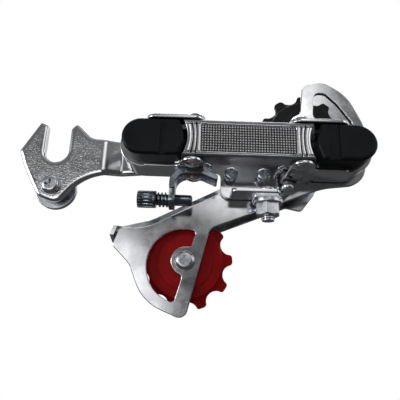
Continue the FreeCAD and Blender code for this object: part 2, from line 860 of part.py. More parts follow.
def guard_tab():
    """Chain guard, bent forward from the inner plate's left end."""
    top = (tension[0] - 29.5, tension[1] + 15.5)
    foot = (tension[0] - 31.8, tension[1] + 7.4)
    strip = plate_xz([
        (top[0], top[1] - 0.6, 0),
        (foot[0], foot[1] + 0.6, 0),
        (foot[0] + inner_plate_thickness, foot[1] + 0.6, 0),
        (top[0] + inner_plate_thickness, top[1] - 0.6, 0),
    ], inner_plate_front - guard_length, inner_plate_front)
    slant = math.tan(math.radians(guard_tilt)) * guard_length
    y0 = inner_plate_front - guard_length
    trims = []
    for side, edge in ((1, top[1]), (-1, foot[1])):
        wedge = Part.makePolygon([
            V(foot[0] - 2, y0, edge),
            V(foot[0] - 2, y0, edge - side * slant / 2),
            V(foot[0] - 2, inner_plate_front, edge),
            V(foot[0] - 2, y0, edge),
        ])
        trims.append(Part.Face(wedge).extrude(V(top[0] - foot[0] + inner_plate_thickness + 4, 0, 0)))
    return strip.cut(trims)


def cage_inner_plate():
    plate = plate_xz(inner_plate_outline(), inner_plate_front, inner_plate_back)
    holes = [rod_y(x, z, pulley_bolt_r, inner_plate_front, inner_plate_back) for x, z in (tension, guide)]
    return joined(plate, guard_tab()).cut(holes)


def cage_axle():
    return pivot_axle(cage_x, 0, cage_axle_r, cage_axle_head_r, plate_back, cage_axle_head_height)


def hanger_pivot():
    neck_back = neck_front + claw_thickness
    return pivot_axle(bracket_x, 0, hanger_axle_r, hanger_head_r, neck_back, hanger_head_height)


def stop_pin():
    x, z = stop_pin_x, stop_pin_dz
    front = cage_front - stop_pin_length
    shank = rod_y(x, z, stop_pin_r, front, plate_back)
    end = dome(V(x, front, z), V(0, -1, 0), stop_pin_r, stop_pin_r * 0.8)
    return joined(shank, end)


def pulley_bolt(centre, seat_y, facing):
    """Bolt through both cage plates; its head sits on one plate and its end is flush with the other."""
    x, z = centre
    outward = V(0, facing, 0)
    head = pan_head(V(x, seat_y, z), outward, pulley_bolt_head_r, pulley_bolt_head_height)
    shank = rod_y(x, z, pulley_bolt_r, cage_front, inner_plate_back)
    crown = V(x, seat_y + facing * pulley_bolt_head_height, z)
    recess = cross_recess(crown, outward, pulley_bolt_head_r, pulley_bolt_head_height / 2)
    return joined(head, shank).cut(recess)


def pulley_bush(centre):
    return ring_y(centre[0], centre[1], pulley_bush_r, pulley_bolt_r, plate_back, inner_plate_front)


def pulley(centre, phase):
    """Toothed wheel turned from one profile, with a roller seat cut between each pair of teeth."""
    bore = pulley_bush_r + running_gap
    half = [
        (bore, pulley_hub_width / 2),
        (pulley_hub_r, pulley_hub_width / 2),
        (pulley_hub_r, pulley_body_width / 2),
        (pulley_body_r, pulley_body_width / 2),
        (pulley_body_r + 0.8, tooth_root_width / 2),
        (pulley_tip_r, tooth_tip_width / 2),
    ]
    profile = half + [(r, -y) for r, y in reversed(half)]
    points = [V(r, y, 0) for r, y in profile]
    wheel = Part.Face(Part.makePolygon(points + points[:1])).revolve(V(0, 0, 0), V(0, 1, 0), 360)
    pitch_r = chain_pitch / 2 / math.sin(math.pi / pulley_teeth)
    seats = []
    for i in range(pulley_teeth):
        angle = math.radians(phase + (i + 0.5) * 360 / pulley_teeth)
        seats.append(rod_y(pitch_r * math.cos(angle), pitch_r * math.sin(angle), roller_seat_r,
                           -pulley_hub_width / 2, pulley_hub_width / 2))
    wheel = wheel.cut(seats)
    wheel.translate(V(centre[0], pulley_y, centre[1]))
    return wheel


def tension_spring():
    """Torsion coil round the cage axle, inside the knuckle."""
    room = shell_back - shell_front - shell_wall - 2 * side_gap - tension_wire
    spring = coil(tension_coil_r, tension_wire, tension_turns, room / tension_turns)
    spring.rotate(V(0, 0, 0), V(1, 0, 0), -90)
    spring.translate(V(cage_x, shell_front + shell_wall + side_gap + tension_wire / 2, shell_z))
    return spring


def return_spring():
    """Torsion coil round the inner bracket pin, between the inner link's ears."""
    room = link_height - 2 * inner_sheet - 2 * side_gap - return_wire
    spring = coil(return_coil_r, return_wire, return_turns, room / return_turns)
    spring.translate(V(outer_pin_x, inner_pin_y, link_bottom + inner_sheet + side_gap + return_wire / 2))
    return spring


def main():
    screw_high, screw_low = limit_screw_places()
    arm_foot = ear_under - arm_thickness
    nodes = {
        "claw_hanger": claw_hanger(),
        "claw_screw": claw_screw(),
        "claw_nut": claw_nut(),
        "hanger_pivot": hanger_pivot(),
        "hanger_pivot_clip": retaining_clip(bracket_x, 0, hanger_axle_r),
        "friction_washer": friction_washer(),
        "bracket_shell": bracket_shell(),
        "bracket_bush": bracket_bush(),
        "bracket_cap": bracket_cap(),
        "bracket_outer_pin": link_pin(outer_pin_x, outer_pin_y, pin_head_r, ear_under),
        "bracket_inner_pin": link_pin(outer_pin_x, inner_pin_y, pin_foot_r, arm_foot),
        "cable_arm": cable_arm(),
        "barrel_adjuster": barrel_adjuster(),
        "adjuster_spring": adjuster_spring(),
        "outer_link": outer_link(),
        "inner_link": inner_link(),
        "return_spring": return_spring(),
        "limit_screw_high": limit_screw(screw_high),
        "limit_screw_low": limit_screw(screw_low),
        "cable_bolt": cable_bolt(),
        "cable_clamp": cable_clamp(),
        "cable_washer": cable_washer(),
        "cable_nut": cable_nut(),
        "cage_knuckle": cage_knuckle(),
        "knuckle_cap": cage_knuckle_cap(),
        "knuckle_outer_pin": link_pin(knuckle_pin_x, outer_pin_y, pin_head_r, ear_under),
        "knuckle_inner_pin": link_pin(knuckle_pin_x, inner_pin_y, pin_foot_r, ear_under),
        "tension_spring": tension_spring(),
        "cage_axle": cage_axle(),
        "cage_axle_clip": retaining_clip(cage_x, 0, cage_axle_r),
        "cage_outer_plate": cage_outer_plate(),
        "cage_inner_plate": cage_inner_plate(),
        "stop_pin": stop_pin(),
        "guide_bolt": pulley_bolt(guide, inner_plate_back, 1),
        "guide_bush": pulley_bush(guide),
        "guide_pulley": pulley(guide, tooth_phase + 13),
        "tension_bolt": pulley_bolt(tension, cage_front, -1),
        "tension_bush": pulley_bush(tension),
        "tension_pulley": pulley(tension, tooth_phase),
    }
    os.makedirs("parts", exist_ok=True)
    for name, shape in nodes.items():
        shape.exportStep("parts/" + name + ".step")
        print(name, len(shape.Solids), shape.isValid(), round(shape.Volume, 1))


main()
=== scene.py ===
import bpy, bmesh, json, math
from mathutils import Matrix, Vector, geometry, kdtree, noise


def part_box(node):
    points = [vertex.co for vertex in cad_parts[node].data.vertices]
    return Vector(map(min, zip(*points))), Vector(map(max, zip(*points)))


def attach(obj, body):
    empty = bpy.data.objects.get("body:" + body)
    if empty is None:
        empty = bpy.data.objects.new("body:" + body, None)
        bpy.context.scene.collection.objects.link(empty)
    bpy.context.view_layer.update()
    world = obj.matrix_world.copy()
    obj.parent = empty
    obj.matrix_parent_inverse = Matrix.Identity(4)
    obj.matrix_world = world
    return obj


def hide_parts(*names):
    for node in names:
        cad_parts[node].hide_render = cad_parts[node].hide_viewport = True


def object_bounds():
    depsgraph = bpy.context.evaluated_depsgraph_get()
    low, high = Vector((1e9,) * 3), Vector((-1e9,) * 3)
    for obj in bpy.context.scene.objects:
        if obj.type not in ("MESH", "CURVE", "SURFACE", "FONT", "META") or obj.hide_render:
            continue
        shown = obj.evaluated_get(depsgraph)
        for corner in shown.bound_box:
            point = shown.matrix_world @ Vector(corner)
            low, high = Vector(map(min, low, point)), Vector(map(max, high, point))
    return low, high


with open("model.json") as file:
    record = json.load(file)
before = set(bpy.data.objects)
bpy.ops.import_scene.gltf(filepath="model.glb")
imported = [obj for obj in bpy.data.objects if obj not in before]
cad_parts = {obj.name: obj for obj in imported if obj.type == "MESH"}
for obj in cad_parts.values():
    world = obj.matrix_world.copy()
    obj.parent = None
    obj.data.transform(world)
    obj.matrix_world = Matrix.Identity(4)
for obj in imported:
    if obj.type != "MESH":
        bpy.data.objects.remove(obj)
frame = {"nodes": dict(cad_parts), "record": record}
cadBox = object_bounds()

mm = 0.001


# shader node groups, each used by several finishes

def startGroup(name, inputs, outputs):
    group = bpy.data.node_groups.new(name, "ShaderNodeTree")
    for label, kind, value in inputs:
        socket = group.interface.new_socket(name=label, in_out="INPUT", socket_type=kind)
        socket.default_value = value
    for label, kind in outputs:
        group.interface.new_socket(name=label, in_out="OUTPUT", socket_type=kind)
    return group, group.nodes.new("NodeGroupInput"), group.nodes.new("NodeGroupOutput")


def setInputs(node, values):
    for label, value in values.items():
        node.inputs[label].default_value = value


def addTexture(group, kind, values):  # a texture in the piece's own coordinates
    coords = group.nodes.new("ShaderNodeTexCoord")
    texture = group.nodes.new(kind)
    setInputs(texture, values)
    group.links.new(coords.outputs["Object"], texture.inputs["Vector"])
    return texture


def addRange(nodes, low, high):
    spread = nodes.new("ShaderNodeMapRange")
    setInputs(spread, {"From Min": low, "From Max": high})
    return spread


def addColorMix(nodes):  # its colours go in at sockets 6 and 7 and come out at 2
    mix = nodes.new("ShaderNodeMix")
    mix.data_type = "RGBA"
    return mix


def buildSmudge():
    group, start, end = startGroup(
        "handledSmudge",
        [("Scale", "NodeSocketFloat", 60.0), ("Low", "NodeSocketFloat", 0.1),
         ("High", "NodeSocketFloat", 0.3)],
        [("Roughness", "NodeSocketFloat")])
    cloud = addTexture(group, "ShaderNodeTexNoise", {"Detail": 6, "Roughness": 0.62})
    spread = addRange(group.nodes, 0.32, 0.68)
    group.links.new(start.outputs["Scale"], cloud.inputs["Scale"])
    group.links.new(cloud.outputs["Fac"], spread.inputs["Value"])
    group.links.new(start.outputs["Low"], spread.inputs["To Min"])
    group.links.new(start.outputs["High"], spread.inputs["To Max"])
    group.links.new(spread.outputs["Result"], end.inputs["Roughness"])
    return group


def buildGrain():
    group, start, end = startGroup(
        "fineGrain",
        [("Scale", "NodeSocketFloat", 1500.0), ("Coarse", "NodeSocketFloat", 0.5)],
        [("Height", "NodeSocketFloat")])
    fine = addTexture(group, "ShaderNodeTexNoise", {"Detail": 3})
    pits = addTexture(group, "ShaderNodeTexVoronoi", {})
    mix = group.nodes.new("ShaderNodeMix")
    for texture in (fine, pits):
        group.links.new(start.outputs["Scale"], texture.inputs["Scale"])
    group.links.new(start.outputs["Coarse"], mix.inputs["Factor"])
    group.links.new(fine.outputs["Fac"], mix.inputs["A"])
    group.links.new(pits.outputs["Distance"], mix.inputs["B"])
    group.links.new(mix.outputs["Result"], end.inputs["Height"])
    return group


def buildDrift():
    group, start, end = startGroup(
        "toneDrift",
        [("Scale", "NodeSocketFloat", 80.0), ("Light", "NodeSocketColor", (0.8, 0.8, 0.8, 1)),
         ("Dark", "NodeSocketColor", (0.6, 0.6, 0.6, 1))],
        [("Color", "NodeSocketColor")])
    cloud = addTexture(group, "ShaderNodeTexNoise", {"Detail": 5})
    ramp = addRange(group.nodes, 0.35, 0.65)
    mix = addColorMix(group.nodes)
    group.links.new(start.outputs["Scale"], cloud.inputs["Scale"])
    group.links.new(cloud.outputs["Fac"], ramp.inputs["Value"])
    group.links.new(ramp.outputs["Result"], mix.inputs["Factor"])
    group.links.new(start.outputs["Dark"], mix.inputs[6])
    group.links.new(start.outputs["Light"], mix.inputs[7])
    group.links.new(mix.outputs[2], end.inputs["Color"])
    return group


# painted highlight: a lighter colour on sharp edges, in patches, stands in for glints along the edges
def buildEdgeGlint():
    group, start, end = startGroup(
        "edgeRub",
        [("Color", "NodeSocketColor", (0.5, 0.5, 0.5, 1)), ("Worn", "NodeSocketColor", (0.7, 0.7, 0.7, 1)),
         ("Amount", "NodeSocketFloat", 0.3)],
        [("Color", "NodeSocketColor")])
    shape = group.nodes.new("ShaderNodeNewGeometry")
    cloud = addTexture(group, "ShaderNodeTexNoise", {"Scale": 700, "Detail": 4})
    ridge = addRange(group.nodes, 0.51, 0.60)
    patchy = group.nodes.new("ShaderNodeMath")
    amount = group.nodes.new("ShaderNodeMath")
    for product in (patchy, amount):
        product.operation = "MULTIPLY"
    mix = addColorMix(group.nodes)
    group.links.new(shape.outputs["Pointiness"], ridge.inputs["Value"])
    group.links.new(ridge.outputs["Result"], patchy.inputs[0])
    group.links.new(cloud.outputs["Fac"], patchy.inputs[1])
    group.links.new(patchy.outputs["Value"], amount.inputs[0])
    group.links.new(start.outputs["Amount"], amount.inputs[1])
    group.links.new(amount.outputs["Value"], mix.inputs["Factor"])
    group.links.new(start.outputs["Color"], mix.inputs[6])
    group.links.new(start.outputs["Worn"], mix.inputs[7])
    group.links.new(mix.outputs[2], end.inputs["Color"])
    return group


smudge = buildSmudge()
grain = buildGrain()
drift = buildDrift()
edgeGlint = buildEdgeGlint()
print("groups:", smudge.name, grain.name, drift.name, edgeGlint.name)


# one dictionary for each finish
# each finish's third colour and the amount after it paint a lighter highlight on its sharp edges
finishes = {
    "plated_steel": dict(light=(0.80, 0.81, 0.83), dark=(0.68, 0.69, 0.72), worn=(0.88, 0.88, 0.88),
                         wear=0.4, metallic=1.0, low=0.08, high=0.21, smudgeScale=160, driftScale=70,
                         grainScale=1500, coarse=0.3, bump=0.12, lift=0.03),
    "grained_plate": dict(light=(0.74, 0.75, 0.77), dark=(0.54, 0.55, 0.58), worn=(0.85, 0.85, 0.86),
                          wear=0.4, metallic=1.0, low=0.16, high=0.28, smudgeScale=160, driftScale=220,
                          grainScale=1700, coarse=0.25, bump=0.3, lift=0.05),
    "zinc_fasteners": dict(light=(0.80, 0.83, 0.87), dark=(0.58, 0.62, 0.68), worn=(0.86, 0.87, 0.88),
                           wear=0.6, metallic=1.0, low=0.18, high=0.36, smudgeScale=300, driftScale=260,
                           grainScale=2600, coarse=0.3, bump=0.12, lift=0.03),
    "plain_steel": dict(light=(0.46, 0.46, 0.47), dark=(0.30, 0.30, 0.32), worn=(0.60, 0.60, 0.60),
                        wear=0.5, metallic=1.0, low=0.28, high=0.45, smudgeScale=240, driftScale=200,
                        grainScale=2400, coarse=0.3, bump=0.15, lift=0.03),
    "black_plastic": dict(light=(0.010, 0.0125, 0.0155), dark=(0.006, 0.0075, 0.0092),
                          worn=(0.03, 0.03, 0.032), wear=0.4, metallic=0.0, low=0.30, high=0.44,
                          smudgeScale=120, driftScale=90, grainScale=3200, coarse=0.4, bump=0.10, lift=0.02,
                          gloss=0.17),
    "black_pulley": dict(light=(0.013, 0.013, 0.014), dark=(0.008, 0.008, 0.009), worn=(0.04, 0.04, 0.04),
                         wear=0.5, metallic=0.0, low=0.40, high=0.54, smudgeScale=140, driftScale=120,
                         grainScale=2800, coarse=0.4, bump=0.16, lift=0.03, gloss=0.25),
    "red_pulley": dict(light=(0.38, 0.004, 0.005), dark=(0.28, 0.003, 0.004), worn=(0.44, 0.02, 0.02),
                       wear=0.4, metallic=0.0, low=0.36, high=0.50, smudgeScale=140, driftScale=110,
                       grainScale=2800, coarse=0.4, bump=0.16, lift=0.03, gloss=0.10),
    "black_adjuster": dict(light=(0.34, 0.38, 0.42), dark=(0.12, 0.14, 0.17), worn=(0.42, 0.45, 0.48),
                           wear=0.8, metallic=1.0, low=0.12, high=0.26, smudgeScale=320, driftScale=300,
                           grainScale=2600, coarse=0.3, bump=0.12, lift=0.03),
    "polished_alloy": dict(light=(0.86, 0.86, 0.87), dark=(0.74, 0.74, 0.76), worn=(0.93, 0.93, 0.93),
                           wear=0.5, metallic=1.0, low=0.14, high=0.28, smudgeScale=110, driftScale=90,
                           grainScale=1600, coarse=0.25, bump=0.08, lift=0.02),
    "bright_dots": dict(light=(0.95, 0.95, 0.96), dark=(0.80, 0.80, 0.82), worn=(1.0, 1.0, 1.0),
                        wear=0.5, metallic=0.35, low=0.30, high=0.42, smudgeScale=200, driftScale=200,
                        grainScale=2600, coarse=0.3, bump=0.06, lift=0.02),
    # a darker grey for the link's flanges and their rounds, top and bottom alike
    "cast_flank": dict(light=(0.36, 0.37, 0.38), dark=(0.24, 0.25, 0.26), worn=(0.70, 0.70, 0.71),
                       wear=0.5, metallic=1.0, low=0.26, high=0.40, smudgeScale=200, driftScale=180,
                       grainScale=2000, coarse=0.4, bump=0.15, lift=0.03),
    # near-black for the link's sunk faces: painted shade on the groove floors, and the panel's own dark
    # ground
    "cast_ground": dict(light=(0.10, 0.10, 0.105), dark=(0.05, 0.05, 0.055), worn=(0.30, 0.30, 0.31),
                        wear=0.3, metallic=1.0, low=0.42, high=0.60, smudgeScale=300, driftScale=300,
                        grainScale=2600, coarse=0.5, bump=0.35, lift=0.05),
}


def addGroup(nodes, group, values):
    node = nodes.new("ShaderNodeGroup")
    node.node_tree = group
    setInputs(node, values)
    return node


def makeFinish(name, look):
    material = bpy.data.materials.new(name)
    material.use_nodes = True
    nodes, links = material.node_tree.nodes, material.node_tree.links
    shader = nodes["Principled BSDF"]
    setInputs(shader, {"Metallic": look["metallic"], "Specular IOR Level": look.get("gloss", 0.5)})
    tone = addGroup(nodes, drift, {"Scale": look["driftScale"], "Light": (*look["light"], 1),
                                   "Dark": (*look["dark"], 1)})
    # painted highlight on the sharp edges
    edges = addGroup(nodes, edgeGlint, {"Worn": (*look["worn"], 1), "Amount": look["wear"]})
    touched = addGroup(nodes, smudge, {"Scale": look["smudgeScale"], "Low": look["low"],
                                       "High": look["high"]})
    skin = addGroup(nodes, grain, {"Scale": look["grainScale"], "Coarse": look["coarse"]})
    bump = nodes.new("ShaderNodeBump")
    setInputs(bump, {"Strength": look["bump"], "Distance": look["lift"] * mm})
    links.new(tone.outputs["Color"], edges.inputs["Color"])
    links.new(edges.outputs["Color"], shader.inputs["Base Color"])
    links.new(touched.outputs["Roughness"], shader.inputs["Roughness"])
    links.new(skin.outputs["Height"], bump.inputs["Height"])
    links.new(bump.outputs["Normal"], shader.inputs["Normal"])
    return material


finish = {name: makeFinish(name, look) for name, look in finishes.items()}
slotOf = {part["node"]: part["material_slot"] for part in frame["record"]["subparts"]}
bodyOf = {node: body for body, members in frame["record"]["behaviour"]["bodies"].items() for node in members}
print("finishes:", len(finish))


# pressed, moulded and turned pieces: the solid's own form with its edges broken

softEdges = {  # edge width in mm and segments
    "bracket_shell": (0.35, 2), "cage_knuckle": (0.35, 2),
    "cage_outer_plate": (0.40, 3), "cage_inner_plate": (0.30, 2),
    "inner_link": (0.25, 2), "bracket_cap": (0.18, 2), "knuckle_cap": (0.18, 2), "cable_arm": (0.35, 2),
    "claw_nut": (0.35, 2), "claw_screw": (0.05, 1),
    "limit_screw_high": (0.05, 1), "limit_screw_low": (0.05, 1), "guide_bolt": (0.05, 1),
    "tension_bolt": (0.05, 1), "cable_clamp": (0.25, 2), "cable_washer": (0.22, 2),
    "cable_nut": (0.18, 2), "cable_bolt": (0.22, 2),
    "guide_pulley": (0.16, 2), "tension_pulley": (0.16, 2),
}
capSwell = {  # side of the round end, stretch up and down, stretch of the round end
    "bracket_cap": (-1, 1.09, 1.09), "knuckle_cap": (1, 1.10, 1.22),
}
brokenSpan = {  # folded ends beyond these places along X keep their edges
    "cage_inner_plate": (37.0, math.inf), "inner_link": (58.0, 103.5),
}
pulleys = ("guide_pulley", "tension_pulley")
toothTips = dict(radius=1.0, zone=1.3, upright=0.8, corner=60, segments=5)  # zone is the depth from the tip
forming = dict(merge=0.002, flat=0.6, sliver=0.003, corner=30, smooth=40)  # mm and degrees, for every piece


def smoothFaces(mesh, angle):
    mesh.shade_smooth()
    mesh.set_sharp_from_angle(angle=math.radians(angle))


def meshFrom(form, name, angle):
    mesh = bpy.data.meshes.new(name)
    form.to_mesh(mesh)
    form.free()
    smoothFaces(mesh, angle)
    return mesh


def addPiece(name, data, node, look=None):  # rides with a solid, in its slot and mostly in its finish
    piece = bpy.data.objects.new(name, data)
    bpy.context.scene.collection.objects.link(piece)
    piece.data.materials.append(finish[look or slotOf[node]])
    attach(piece, bodyOf[node])
    return piece


def cleanForm(node):
    form = bmesh.new()
    form.from_mesh(frame["nodes"][node].data)
    bmesh.ops.remove_doubles(form, verts=form.verts, dist=forming["merge"] * mm)
    flat = math.radians(forming["flat"])
    bmesh.ops.dissolve_limit(form, angle_limit=flat, verts=form.verts, edges=form.edges)
    form.normal_update()
    return form


def sharpEdges(form):  # outward corners only
    corner = math.radians(forming["corner"])
    return [e for e in form.edges if e.is_convex and e.calc_face_angle(0.0) > corner]


def breakEdges(form, edges, width, segments):
    bmesh.ops.bevel(form, geom=edges, offset=width * mm, offset_type="OFFSET", segments=segments, profile=0.5,
                    affect="EDGES", clamp_overlap=False, loop_slide=False)


def dropSlivers(form):  # doubled corners and faces without area
    bmesh.ops.remove_doubles(form, verts=form.verts, dist=forming["sliver"] * mm)
    bmesh.ops.dissolve_degenerate(form, dist=forming["sliver"] * mm, edges=form.edges)


def standIn(node, form, name):
    dropSlivers(form)
    form.normal_update()
    piece = addPiece(name, meshFrom(form, name, forming["smooth"]), node)
    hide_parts(node)
    return piece


def evenShade(piece):
    weighted = piece.modifiers.new("evenShade", "WEIGHTED_NORMAL")
    weighted.keep_sharp = True
    weighted.weight = 80


def swellCap(form, node, side, tall, long):
    lo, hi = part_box(node)
    radius = (hi.z - lo.z) / 2
    pivot = lo.x + radius if side < 0 else hi.x - radius
    for v in form.verts:
        v.co.z *= tall
        if (v.co.x - pivot) * side > 0:
            v.co.x = pivot + (v.co.x - pivot) * long


def roundTeeth(form, node):
    look = toothTips
    lo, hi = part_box(node)
    middle, inner = (lo + hi) / 2, (hi.x - lo.x) / 2 - look["zone"] * mm
    across = []  # edges along the pulley's axis, near the tips
    for e in form.edges:
        first, last = e.verts[0].co, e.verts[1].co
        upright = abs(first.y - last.y) > look["upright"] * e.calc_length()
        if upright and math.hypot(first.x - middle.x, first.z - middle.z) > inner:
            across.append(e)
    corners = [e for e in across if e.calc_face_angle(0.0) > math.radians(look["corner"])]
    bmesh.ops.dissolve_edges(form, edges=[e for e in across if e not in corners], use_verts=True)
    form.normal_update()
    breakEdges(form, corners, look["radius"], look["segments"])
    form.normal_update()


def softCopy(node, width, segments):
    form = cleanForm(node)
    if node in capSwell:
        swellCap(form, node, *capSwell[node])
    if node in pulleys:
        roundTeeth(form, node)
    start, stop = brokenSpan.get(node, (-math.inf, math.inf))
    edges = [e for e in sharpEdges(form) if all(start < v.co.x / mm < stop for v in e.verts)]
    breakEdges(form, edges, width, segments)
    evenShade(standIn(node, form, node + "_finished"))


for node, (width, segments) in softEdges.items():
    softCopy(node, width, segments)
for node, cadObject in frame["nodes"].items():
    if node not in softEdges:
        cadObject.data.materials.clear()
        cadObject.data.materials.append(finish[slotOf[node]])
print("edges broken on", len(softEdges), "pieces")


# rivets and pivots, turned again from the outline of the solid

turnings = {  # index of the axis, broken edge in mm
    "bracket_outer_pin": (2, 0.12), "bracket_inner_pin": (2, 0.12), "knuckle_outer_pin": (2, 0.12),
    "knuckle_inner_pin": (2, 0.12), "hanger_pivot": (1, 0.12), "cage_axle": (1, 0.12), "stop_pin": (1, 0.0),
}
lathe = dict(around=56, capSteps=10, domeRings=4, point=1e-6, edgeSteps=2, edgeAngle=40)


def otherAxes(axis):
    return [i for i in range(3) if i != axis]


def roundAxis(axis, middle, along, radius, angle):  # place on a circle round an axis
    u, v = otherAxes(axis)
    place = [0.0, 0.0, 0.0]
    place[axis] = along
    place[u] = middle[u] + radius * math.cos(angle)
    place[v] = middle[v] + radius * math.sin(angle)
    return place


def roundCap(outline):  # an end that closes in a dome gets an even arc from its rim to its crown
    rim = len(outline) - 1
    while rim > 0 and outline[rim - 1][1] > outline[rim][1]:
        rim -= 1
    (base, radius), crown = outline[rim], outline[-1][0]
    rise = abs(crown - base)
    if len(outline) - rim < lathe["domeRings"] or rise == 0:
        return outline
    ball = (radius * radius + rise * rise) / (2 * rise)
    lean = math.asin(min(1.0, radius / ball))
    side = 1 if crown > base else -1
    arc = []
    for i in range(1, lathe["capSteps"] + 1):
        angle = lean * (1 - i / lathe["capSteps"])
        arc.append((crown - side * ball * (1 - math.cos(angle)), ball * math.sin(angle)))
    return outline[:rim + 1] + arc


def readOutline(node, axis):
    lo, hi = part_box(node)
    u, v = otherAxes(axis)
    middle = (lo + hi) / 2
    rings = {}
    for corner in frame["nodes"][node].data.vertices:
        radius = math.hypot(corner.co[u] - middle[u], corner.co[v] - middle[v])
        rings.setdefault(round(corner.co[axis] / mm, 2), set()).add(round(radius / mm, 2))
    outline = []
    for height in sorted(rings):
        radii = sorted(rings[height])
        if outline and abs(outline[-1][1] - radii[0]) > abs(outline[-1][1] - radii[-1]):
            radii.reverse()
        outline += [(height, r) for r in radii]
    ends = [(outline[0][0], 0.0)] if outline[0][1] > 0 else []
    tail = [(outline[-1][0], 0.0)] if outline[-1][1] > 0 else []
    outline = roundCap(ends + outline + tail)
    return roundCap(outline[::-1])[::-1], middle


def turnPiece(node, axis, edge):
    outline, middle = readOutline(node, axis)
    around = lathe["around"]
    form = bmesh.new()
    rings = []
    for height, radius in outline:
        angles = [2 * math.pi * i / around for i in range(1 if radius < lathe["point"] else around)]
        rings.append([form.verts.new(roundAxis(axis, middle, height * mm, radius * mm, a)) for a in angles])
    for under, upper in zip(rings, rings[1:]):
        for i in range(around):
            corners = [under[i % len(under)], under[(i + 1) % len(under)],
                       upper[(i + 1) % len(upper)], upper[i % len(upper)]]
            form.faces.new(list(dict.fromkeys(corners)))
    bmesh.ops.recalc_face_normals(form, faces=form.faces)
    piece = standIn(node, form, node + "_turned")
    if not edge:
        return
    soften = piece.modifiers.new("brokenEdge", "BEVEL")
    soften.width = edge * mm
    soften.segments = lathe["edgeSteps"]
    soften.limit_method = "ANGLE"
    soften.angle_limit = math.radians(lathe["edgeAngle"])


for node, (axis, edge) in turnings.items():
    turnPiece(node, axis, edge)
print("turned again:", len(turnings))


# lip of the bracket's cap behind the end of the outer link

capLip = dict(under=2.0, reach=1.8, front=-0.4, back=0.5, margin=0.2, edge=0.2)
barSteps = 3  # segments on a bar's broken edges


def addBar(name, node, low, high, edge):  # bar with broken edges
    form = bmesh.new()
    bmesh.ops.create_cube(form, size=1.0)
    bmesh.ops.scale(form, vec=high - low, verts=form.verts)
    bmesh.ops.translate(form, vec=(low + high) / 2, verts=form.verts)
    breakEdges(form, list(form.edges), edge, barSteps)
    addPiece(name, meshFrom(form, name, forming["smooth"]), node)


def buildCapLip():
    lo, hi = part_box("bracket_cap")
    low = Vector((hi.x - capLip["under"] * mm, hi.y + capLip["front"] * mm, lo.z + capLip["margin"] * mm))
    high = Vector((hi.x + capLip["reach"] * mm, hi.y + capLip["back"] * mm, hi.z - capLip["margin"] * mm))
    addBar("bracketCapLip", "bracket_cap", low, high, capLip["edge"])


buildCapLip()
print("cap lip ready")


# rolled lip along the lower edge of the inner link's window

windowLip = dict(x0=70.6, x1=95.2, low=-4.3, high=-2.7, front=-2.75, back=-0.85, edge=0.4)


def buildWindowLip():
    look = windowLip
    low = Vector((look["x0"], look["front"], look["low"])) * mm
    high = Vector((look["x1"], look["back"], look["high"])) * mm
    addBar("innerWindowLip", "inner_link", low, high, look["edge"])


buildWindowLip()
print("window lip ready")


# raised step round each pulley's hub, on both sides

pulleyStep = dict(inner=6.9, outer=11.5, foot=2.5, top=3.15, slope=0.35, around=72, smooth=30)


def stepRing(node, facing):
    lo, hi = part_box(node)
    middle, look = (lo + hi) / 2, pulleyStep
    inner, outer, foot, top, slope = (look[key] for key in ("inner", "outer", "foot", "top", "slope"))
    profile = [(inner, foot), (inner, top), (outer - slope, top), (outer, top - slope), (outer, foot)]
    form = bmesh.new()
    rings = []
    for i in range(look["around"]):
        angle = 2 * math.pi * i / look["around"]
        rings.append([form.verts.new(roundAxis(1, middle, middle.y + facing * y * mm, r * mm, angle))
                      for r, y in profile])
    for first, second in zip(rings, rings[1:] + rings[:1]):
        for k in range(len(profile)):
            following = (k + 1) % len(profile)
            form.faces.new((first[k], first[following], second[following], second[k]))
    bmesh.ops.recalc_face_normals(form, faces=form.faces)
    name = node + ("_step_front" if facing < 0 else "_step_back")
    addPiece(name, meshFrom(form, name, look["smooth"]), node)


for node in pulleys:
    for facing in (-1, 1):
        stepRing(node, facing)
print("pulley steps ready")


# barrel adjuster: fluted head with a tapered mouth, rounded tail

barrel = dict(tailRound=1.1, mouthRound=0.6, roundSteps=4, rimShare=0.8, edge=0.12, edgeSteps=2,
              shortest=0.5, slack=0.01)


def buildAdjuster():
    form = cleanForm("barrel_adjuster")
    lo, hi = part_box("barrel_adjuster")
    centre = ((lo + hi) / 2).yz
    slack = barrel["slack"] * mm
    for place, width in ((hi.x, barrel["tailRound"]), (lo.x, barrel["mouthRound"])):
        rim = [e for e in sharpEdges(form) if all(abs(v.co.x - place) < slack for v in e.verts)]
        reach = max(abs(v.co.z - centre.y) for e in rim for v in e.verts) * barrel["rimShare"]
        outer = [e for e in rim if max((v.co.yz - centre).length for v in e.verts) > reach]
        breakEdges(form, outer, width, barrel["roundSteps"])
        form.normal_update()
    edges = [e for e in sharpEdges(form) if e.calc_length() > barrel["shortest"] * mm]
    breakEdges(form, edges, barrel["edge"], barrel["edgeSteps"])
    evenShade(standIn("barrel_adjuster", form, "barrelAdjuster"))


buildAdjuster()
print("adjuster ready")


# claw: grained face inside a broad rounded border, smooth on the step and the neck

claw = dict(border=1.9, drop=0.8, backBorder=0.5, backDrop=0.35, step=0.3, rimParts=6, lean=0.3,
            rings=(0.05, 0.16, 0.34, 0.6, 0.95, 1.4, 1.9), ringSlack=0.02, pitch=0.22, fieldGap=0.12,
            grainSize=0.42, grainDepth=0.075, grainEnd=20.0, grainFade=1.5, grainFrom=0.72, grainRise=0.4,
            finer=2.1, finerShare=0.5, finerShift=(7, 3, 1))


